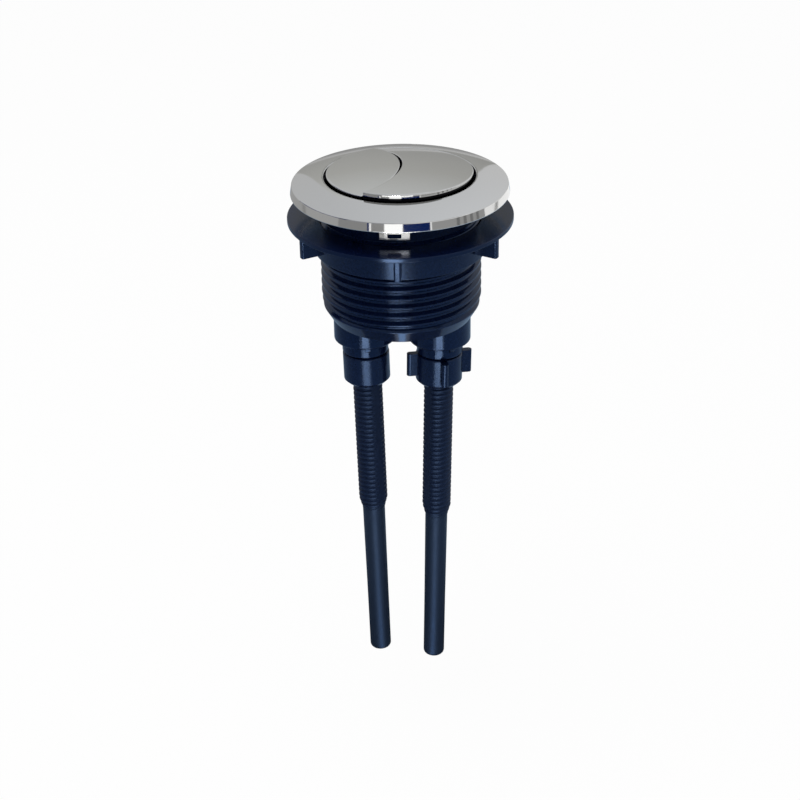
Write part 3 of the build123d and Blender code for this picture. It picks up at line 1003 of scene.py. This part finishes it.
def lock_nut_outline(sizes):
    """A lock nut's section: a plain ring with a bevelled lower edge."""
    bottom = sizes.top - sizes.height
    soft = sizes.soft_edge
    corners = (
        (sizes.bore, sizes.top), (sizes.radius, sizes.top), (sizes.radius, bottom + sizes.chamfer),
        (sizes.radius - sizes.chamfer, bottom), (sizes.bore, bottom),
    )
    return closed(rounded(corners, (soft, sizes.top_edge, soft, soft, soft)))


def wing_grids(sizes):
    """The full flush nut's wings: upright slabs with a half round end."""
    half = sizes.wing_thickness / 2
    arc = np.linspace(-np.pi / 2, 0, 9)
    end = sizes.wing_reach - half + half * np.exp(1j * arc)
    start = (sizes.bore + sizes.radius) / 2
    side = np.concatenate(([start - 1j * half], end))
    wing = slab(side, side.conj(), sizes.top - sizes.wing_height, sizes.top - sizes.wing_drop)
    return ringed(wing, sizes.wings, sizes.wing_turn)


# Operators
class PUSH_BUTTON_OT_bezel(Operator):
    """Builds the plated bezel with its two snap legs"""

    bl_idname = "push_button.bezel"
    bl_label = "Bezel"

    def execute(self, context):
        button = context.scene.push_button
        sizes = button.bezel
        ring = solid("plated_bezel", [revolved(bezel_outline(sizes), COLUMNS["bezel"])])
        legs, windows = [], []
        top = sizes.collar_bottom + sizes.soft_edge
        beyond = sizes.collar_radius - sizes.leg_inner
        for front in (True, False):
            legs += arc_slab(
                sizes.leg_inner, sizes.collar_radius, sizes.leg_width, sizes.leg_bottom, top, front,
                sizes.leg_taper,
            )
            windows += arc_slab(
                sizes.leg_inner - beyond, sizes.collar_radius + beyond, sizes.window_width,
                sizes.window_bottom, sizes.window_top, front,
            )
        added = bevelled(solid("leg_helper", legs), sizes.soft_edge)
        piece = fused(ring, added, solid("window_helper", windows))
        dressed(piece, chrome_finish(button.finishes), "barrel", "bezel_ring")
        return {"FINISHED"}


class PUSH_BUTTON_OT_caps(Operator):
    """Builds the two plated caps"""

    bl_idname = "push_button.caps"
    bl_label = "Caps"

    def execute(self, context):
        button = context.scene.push_button
        sizes = button.caps
        for name, side in SIDES:
            piece = solid(name + "_plated_cap", [cap_surface(sizes, side)])
            # The wall below this height gets painted shade, for the shaded gap under the cap's edge
            painted_shade_skirt = own(sizes, side, "painted_shade_skirt")
            finish = chrome_finish(button.finishes, name + "_cap_plating", painted_shade_skirt, sizes.radius)
            flush = name + "_flush_"
            dressed(piece, finish, flush + "button", flush + "cap")
        return {"FINISHED"}


class PUSH_BUTTON_OT_barrel(Operator):
    """Builds the threaded barrel with its two guide bosses"""

    bl_idname = "push_button.barrel"
    bl_label = "Barrel"

    def execute(self, context):
        button = context.scene.push_button
        shell = solid("threaded_barrel", [barrel_surface(button.barrel)])
        piece = fused(shell, *boss_helpers(button.barrel, button.plungers.offset))
        dressed(piece, moulded_finish(button.finishes), "barrel", "barrel_housing")
        return {"FINISHED"}


class PUSH_BUTTON_OT_ring_nut(Operator):
    """Builds the flanged ring nut with its lugs"""

    bl_idname = "push_button.ring_nut"
    bl_label = "Ring nut"

    def execute(self, context):
        button = context.scene.push_button
        sizes, finishes = button.ring_nut, button.finishes
        body = solid("flanged_ring_nut", [revolved(ring_nut_outline(sizes), COLUMNS["ring_nut"])])
        piece = fused(body, bevelled(lug_helper(sizes), sizes.soft_edge))
        finish = plastic_finish(
            finishes, "polished_plastic", finishes.grain_rough, finishes.strong_grain,
            polished_above=sizes.flange_top - sizes.flange_thickness,
        )
        dressed(piece, finish, "ring_nut", "ring_nut")
        return {"FINISHED"}


class PUSH_BUTTON_OT_plungers(Operator):
    """Builds the two plungers under the caps"""

    bl_idname = "push_button.plungers"
    bl_label = "Plungers"

    def execute(self, context):
        button = context.scene.push_button
        for name, side in SIDES:
            piece = plunger(button.plungers, button.caps, name + "_barbed_plunger", side)
            finish = moulded_finish(button.finishes)
            flush = name + "_flush_"
            dressed(piece, finish, flush + "button", flush + "plunger")
        return {"FINISHED"}


class PUSH_BUTTON_OT_springs(Operator):
    """Builds the return springs"""

    bl_idname = "push_button.springs"
    bl_label = "Springs"

    def execute(self, context):
        button = context.scene.push_button
        plungers = button.plungers
        low = button.barrel.floor_top
        for name, side in SIDES:
            high = own(plungers, side, "top") - plungers.head_thickness
            x = side * plungers.offset
            coil = turned([spring_surface(button.springs, low, high)], x=x)
            piece = solid(name + "_wire_spring", coil)
            dressed(piece, steel_finish(button.finishes), "barrel", name + "_flush_spring")
            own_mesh(piece)
        return {"FINISHED"}


class PUSH_BUTTON_OT_rods(Operator):
    """Builds the two threaded push rods"""

    bl_idname = "push_button.rods"
    bl_label = "Rods"

    def execute(self, context):
        button = context.scene.push_button
        finishes, sizes = button.finishes, button.rods
        for name, side in SIDES:
            grids = leaned([rod_surface(sizes, side)], sizes, button.plungers.offset, side)
            piece = solid(name + "_threaded_rod", grids, ROD_SHARP)
            finish = plastic_finish(
                finishes, name + "_satin_plastic", finishes.rod_rough, finishes.plastic_grain,
                grey_below=own(sizes, side, "top") - sizes.thread_length - sizes.run_out / 2,
            )
            rod = name + "_flush_rod"
            dressed(piece, finish, rod, rod)
        return {"FINISHED"}


class PUSH_BUTTON_OT_lock_nuts(Operator):
    """Builds the plain and the winged lock nut"""

    bl_idname = "push_button.lock_nuts"
    bl_label = "Lock nuts"

    def execute(self, context):
        button = context.scene.push_button
        sizes, finishes = button.lock_nuts, button.finishes
        ring = revolved(lock_nut_outline(sizes), COLUMNS["lock_nut"])
        for name, side in SIDES:
            line = (button.rods, button.plungers.offset, side)
            piece = solid(name + "_lock_ring", leaned([ring], *line))
            if side > 0:
                wings = solid("wing_helper", leaned(wing_grids(sizes), *line))
                piece = fused(piece, bevelled(wings, sizes.soft_edge))
            finish = plastic_finish(finishes, "grained_plastic", finishes.grain_rough, finishes.strong_grain)
            nut = name + "_flush_lock_nut"
            dressed(piece, finish, nut, nut)
        return {"FINISHED"}


# Stage
# Cards on the table that the plating and the plastic mirror: name, inner and outer radius in metres, first
# and last angle in degrees from the camera's side, tone and strength. Later ones lie over earlier ones.
TABLE_CARDS = (
    ("left_shade", 0.075, 0.466, -181, -22, "shade", 0.35),
    ("left_sheet", 0.466, 0.731, -181, -22, "sheet", 1.0),
    ("right_shade", 0.075, 0.466, 16, 179, "shade", 0.5),
    ("foot_shade", 0.002, 0.075, -181, 179, "shade", 0.1),
    ("foot_sheet", 0.008, 0.075, -30, 30, "white", 1.0),
    ("foot_patch", 0.012, 0.06, -16, 14, "shade", 4.0),
    ("foot_strip", 0.075, 0.123, -22, 16, "white", 4.0),
    ("rod_shade", 0.123, 0.21, -22, 16, "shade", 0.9),
    ("nut_strip", 0.21, 0.241, -22, 16, "glow", 1.2),
    ("stem_shade", 0.241, 0.252, -22, 16, "shade", 0.4),
    ("boss_strip", 0.252, 0.285, -12, 11, "glow", 1.1),
    ("front_shade", 0.285, 0.366, -22, 16, "shade", 0.05),
    ("front_table", 0.366, 0.389, -22, 16, "white", 1.3),
    ("front_sheet", 0.389, 0.466, -17, 1, "glow", 2.8),
    ("far_shade", 0.466, 0.675, -22, 16, "shade", 0.05),
)
# Cards before the tent's wall, with the lower and the upper rise in degrees instead of the radii
SLATS, SLAT_WIDTH = (57, 65, 73, 81), 3.5
WALL_CARDS = (
    ("low_window", -12.2, -7, -27, 19, "white", 1.6),
    ("rim_window", -7, 3, -16, 2, "white", 1.25),
    ("rim_shade", -7, 3, 2, 29, "dark", 1.0),
    ("left_post", -7, 3, -33, -31, "dark", 1.0),
    ("left_light", -7, 3, -31, -29, "white", 1.0),
    ("right_light", -7, 3, 29, 30.5, "white", 1.0),
    ("front_dark", -1, 9, -70, -16, "dark", 1.0),
    ("edge_light", 10, 30, -5, 75, "white", 0.95),
    ("flank_shade", 32, 52, -75, 75, "white", 0.2),
    ("edge_dark", 9, 30, -125, -55, "dark", 1.0),
    ("side_window", -12, 2, 93, 140, "white", 0.9),
    *(("slat_%d" % start, -12, 2, start, start + SLAT_WIDTH, "white", 0.18) for start in SLATS),
    ("left_wall", -12, 2, -150, -64, "white", 0.38),
)
BACK_CARD = ("back_card", 2, 37, 168, 194, "card", 1.0)
# Heights in metres at which the tent and the back card have the colours of their stops
TENT_STOPS = (-0.06, 0.03, 0.66)
BACK_STOPS = (0.06, 0.25, 0.42)
# Half the width over which strengths change sideways, in the tent as a share of its radius, with the
# strength on the left and on the right
TENT_SIDES = (0.3, 0.95, 1.15)
BACK_SIDES = (0.12, 1.06, 0.96)
# The step from card to card on the table, the radius of the wall's cards as a share of the tent's, and
# the rows and columns of points of the tent and of a card
CARD_STEP, WALL_SHARE = 0.005 * MM, 0.93
TENT_ROWS, CARD_ROWS, CARD_COLUMNS = 40, 12, 24
LAMP_PLACE, LAMP_AIM = (-0.15, -0.1, 0.7), (0, 0, -0.02)


def floor_material(glow_share):
    """White floor: lit, so that it keeps the shadow, and white where the eye or a mirror looks at it."""
    material, tree, shader = node_material("pale_floor")
    feed(tree, shader, {"Base Color": (0.9, 0.9, 0.9, 1), "Roughness": 0.9, "Specular IOR Level": 0.0})
    seen = ranged(tree, background_rays(tree), 0.0, glow_share)
    glow = wired(tree, "Emission", {}, "Emission")
    mix = wired(tree, "MixShader", {"Fac": seen, 1: shader.outputs["BSDF"], 2: glow}, "Shader")
    feed(tree, tree.nodes["Material Output"], {"Surface": mix})
    return material


def background_rays(tree):
    """1 for rays from the camera, from a mirror or through glass, else 0."""
    path = tree.nodes.new("ShaderNodeLightPath").outputs
    straight = larger(tree, path["Is Camera Ray"], path["Is Glossy Ray"])
    return larger(tree, straight, path["Is Transmission Ray"])


def white_world(scene, strength):
    """Even light from all round, seen as plain white."""
    world = bpy.data.worlds.new("white_room")
    scene.world = world
    world.use_nodes = True
    tree = world.node_tree
    lit = ranged(tree, background_rays(tree), strength, 1.0)
    feed(tree, tree.nodes["Background"], {"Color": (*WHITE, 1), "Strength": lit})


def reflector(name, grid, tint, strength=1.0):
    """A card that only mirrors see, on a grid of points; it glows evenly."""
    card = solid(name, [grid])
    material, tree, shader = node_material(name)
    feed(tree, shader, {
        "Base Color": (0, 0, 0, 1), "Specular IOR Level": 0.0, "Emission Color": (*tint, 1),
        "Emission Strength": strength,
    })
    card.data.materials.append(material)
    for rays in ("camera", "diffuse", "shadow", "transmission"):
        setattr(card, "visible_" + rays, False)
    return tree, shader


def graded(tree, shader, heights, tints, reach, left, right):
    """Gives a card a colour that changes with its height, and a strength that changes sideways."""
    low, high = heights[0], heights[-1]
    ramp = tree.nodes.new("ShaderNodeValToRGB")
    feed(tree, ramp, {"Fac": ranged(tree, along(tree, "Z"), 0.0, 1.0, low, high)})
    elements = ramp.color_ramp.elements
    while len(elements) < len(heights):
        elements.new(0.5)
    for element, at, tint in zip(elements, heights, tints):
        element.position = (at - low) / (high - low)
        element.color = (*tint, 1)
    strength = ranged(tree, along(tree, "X"), left, right, -reach, reach)
    feed(tree, shader, {"Emission Color": ramp.outputs["Color"], "Emission Strength": strength})


def ball_part(radius, foot, head, rows, turn):
    """Part of a ball: r (cos b cos a, cos b sin a, sin b), with b the rise and a the turn."""
    rise = np.linspace(foot, head, rows)[:, None]
    return around(radius * np.cos(rise), radius * np.sin(rise), turn)


def tent(stage, low):
    """A grey tent over the table: a ball cut off at the floor, brighter upwards and to the right."""
    radius = stage.tent_radius
    grid = ball_part(radius, np.arcsin(low / radius), np.pi / 2, TENT_ROWS, full_turn(COLUMNS["tent"]))
    greys = [(grey, grey, grey) for grey in (stage.tent_foot, stage.tent_wall)]
    reach, *sides = TENT_SIDES
    graded(*reflector("tent", grid, WHITE), TENT_STOPS, (*greys, stage.tent_top), reach * radius, *sides)


def cards(stage, low):
    """Cards on the table and before the tent's wall, each a sector, which the plating and plastic mirror."""
    tones = {
        "white": (WHITE, 1.0), "sheet": (WHITE, stage.table_sheet), "glow": (WHITE, stage.front_glow),
        "shade": (stage.table_tint, 1.0), "dark": (stage.wall_shade, 1.0), "card": (stage.card_low, 1.0),
    }

    def turn(start, end):
        return stage.azimuth - math.pi / 2 + np.radians(np.linspace(start, end, CARD_COLUMNS))

    def lit(tone, strength):
        tint, unit = tones[tone]
        return tint, strength * unit

    def on_wall(name, foot, head, start, end, *light):
        rises = np.radians((foot, head))
        grid = ball_part(WALL_SHARE * stage.tent_radius, *rises, CARD_ROWS, turn(start, end))
        return reflector(name, grid, *lit(*light))

    for level, (name, inner, outer, start, end, *light) in enumerate(TABLE_CARDS):
        radii = np.array(((inner,), (outer,)))
        reflector(name, around(radii, low + CARD_STEP * level, turn(start, end)), *lit(*light))
    for row in WALL_CARDS:
        on_wall(*row)
    tints = (stage.card_foot, stage.card_low, stage.card_high)
    graded(*on_wall(*BACK_CARD), BACK_STOPS, tints, *BACK_SIDES)


def top_lamp(size, power):
    """A soft square lamp that looks at the part; neither the camera nor a mirror sees it."""
    data = bpy.data.lights.new("top_lamp", "AREA")
    data.size = size
    data.energy = power
    light = new_object("top_lamp", data)
    light.location = LAMP_PLACE
    light.rotation_euler = (Vector(LAMP_AIM) - Vector(LAMP_PLACE)).to_track_quat("-Z", "Y").to_euler()
    light.visible_camera = False
    light.visible_glossy = False


def set_camera(scene, stage):
    """The camera, at the viewing angle, with its aim moved so that the axis stands where it should."""
    back = Vector((
        math.sin(stage.azimuth) * math.cos(stage.elevation),
        -math.cos(stage.azimuth) * math.cos(stage.elevation),
        math.sin(stage.elevation),
    ))
    right = Vector((math.cos(stage.azimuth), math.sin(stage.azimuth), 0))
    up = back.cross(right)
    image_right = right * math.cos(stage.roll) - up * math.sin(stage.roll)
    image_up = up * math.cos(stage.roll) + right * math.sin(stage.roll)
    aim = Vector((0, 0, stage.aim_height))
    aim -= image_right * (stage.centre - 0.5) / stage.focal * stage.distance
    data = bpy.data.cameras.new("camera")
    data.sensor_width = 36
    data.lens = stage.focal * data.sensor_width
    data.clip_start = 10 * MM
    camera = new_object("camera", data)
    axes = Matrix((image_right, image_up, back)).transposed().to_4x4()
    camera.matrix_world = Matrix.Translation(aim + back * stage.distance) @ axes
    scene.camera = camera


class PUSH_BUTTON_OT_stage(Operator):
    """Sets up the floor, the light and the camera"""

    bl_idname = "push_button.stage"
    bl_label = "Stage"

    def execute(self, context):
        scene = context.scene
        stage = scene.push_button.stage
        scene.view_settings.view_transform = "Standard"
        white_world(scene, stage.world_light)
        low = CAD_BOX[0].z - stage.floor_gap
        half = stage.floor_size
        mesh = bpy.data.meshes.new("floor")
        corners = [(x * half, y * half, low) for x, y in ((-1, -1), (1, -1), (1, 1), (-1, 1))]
        mesh.from_pydata(corners, [], [(0, 1, 2, 3)])
        floor = new_object("floor", mesh)
        mesh.materials.append(floor_material(stage.floor_glow))
        top_lamp(stage.lamp_size, stage.lamp_power)
        tent(stage, low)
        cards(stage, low + stage.card_lift)
        set_camera(scene, stage)
        return {"FINISHED"}


PIECES = (
    PUSH_BUTTON_OT_bezel, PUSH_BUTTON_OT_caps, PUSH_BUTTON_OT_barrel, PUSH_BUTTON_OT_ring_nut,
    PUSH_BUTTON_OT_plungers, PUSH_BUTTON_OT_springs, PUSH_BUTTON_OT_rods, PUSH_BUTTON_OT_lock_nuts,
    PUSH_BUTTON_OT_stage,
)


class PUSH_BUTTON_PT_pieces(Panel):
    """Lists the operators that build the push button"""

    bl_label = "Push button"
    bl_space_type = "VIEW_3D"
    bl_region_type = "UI"
    bl_category = "Push Button"

    def draw(self, context):
        for piece in PIECES:
            self.layout.operator(piece.bl_idname)


CLASSES = (
    BezelSizes, CapSizes, BarrelSizes, RingNutSizes, PlungerSizes, SpringSizes, RodSizes, LockNutSizes,
    Finishes, StageSizes, PushButton, *PIECES, PUSH_BUTTON_PT_pieces,
)


def register():
    for item in CLASSES:
        bpy.utils.register_class(item)
    bpy.types.Scene.push_button = PointerProperty(type=PushButton)


def unregister():
    del bpy.types.Scene.push_button
    for item in reversed(CLASSES):
        bpy.utils.unregister_class(item)


def main():
    """Registers the classes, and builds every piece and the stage."""
    register()
    bpy.ops.push_button.bezel()
    bpy.ops.push_button.caps()
    bpy.ops.push_button.barrel()
    bpy.ops.push_button.ring_nut()
    bpy.ops.push_button.plungers()
    bpy.ops.push_button.springs()
    bpy.ops.push_button.rods()
    bpy.ops.push_button.lock_nuts()
    bpy.ops.push_button.stage()


if __name__ == "__main__":
    main()
